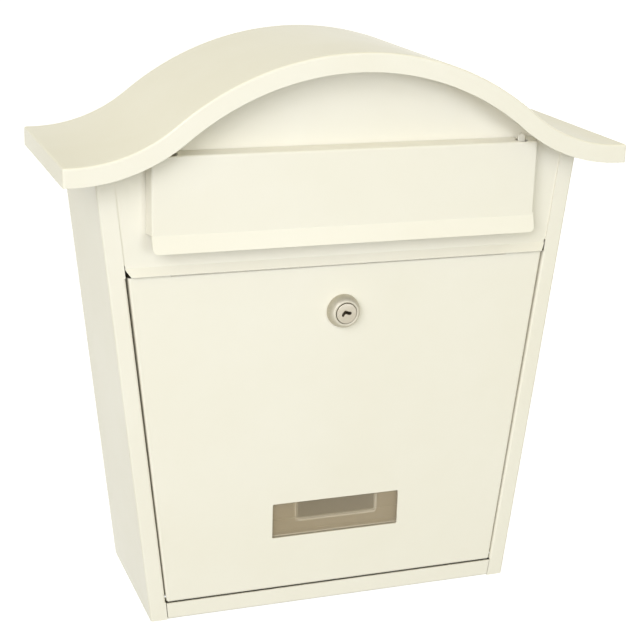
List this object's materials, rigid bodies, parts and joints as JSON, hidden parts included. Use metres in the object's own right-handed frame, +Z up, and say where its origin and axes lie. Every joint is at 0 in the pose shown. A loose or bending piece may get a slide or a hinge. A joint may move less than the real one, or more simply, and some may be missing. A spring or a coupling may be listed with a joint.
{
  "type": "wall mounted post box",
  "caption": "Wall mounted sheet steel post box with a wave-shaped roof, a hooked letter flap, a door that drops open on pins at its foot, a cam lock and a clear name pocket.",
  "frame": {"origin": "middle of the four wall screw holes, on the wall face of the back", "axes": "+Y into the wall, +Z up, so the front with the door looks along -Y"},
  "size_m": [0.365, 0.1329, 0.371],
  "materials": {
    "cream_paint": "satin powder coat",
    "satin_nickel": "satin nickel plate",
    "plated_steel": "bright zinc plate",
    "clear_plastic": "clear gloss"
  },
  "bodies": {
    "box": {"casing_shell": "cream_paint", "bottom_panel": "cream_paint", "upper_front_panel": "cream_paint", "roof_cover": "cream_paint", "door_hinge_pin_left": "plated_steel", "door_hinge_pin_right": "plated_steel"},
    "flap": {"letter_flap": "cream_paint"},
    "door": {"door_panel": "cream_paint", "label_pocket": "clear_plastic", "lock_body": "satin_nickel", "lock_washer": "plated_steel", "lock_nut": "plated_steel"},
    "lock": {"lock_plug": "satin_nickel", "lock_cam": "plated_steel", "cam_spring_washer": "plated_steel", "cam_screw": "plated_steel"}
  },
  "joints": [
    {"name": "flap_hinge", "type": "hinge", "parent": "box", "child": "flap", "pos_m": [0, -0.1127, 0.18], "axis": [-1, 0, 0], "range_deg": [0, 70]},
    {"name": "door_hinge", "type": "hinge", "parent": "box", "child": "door", "pos_m": [0, -0.1053, -0.1144], "axis": [1, 0, 0], "range_deg": [0, 95]},
    {"name": "lock_turn", "type": "hinge", "parent": "door", "child": "lock", "pos_m": [0, -0.1085, 0.0733], "axis": [0, 1, 0], "range_deg": [0, 90]}
  ]
}
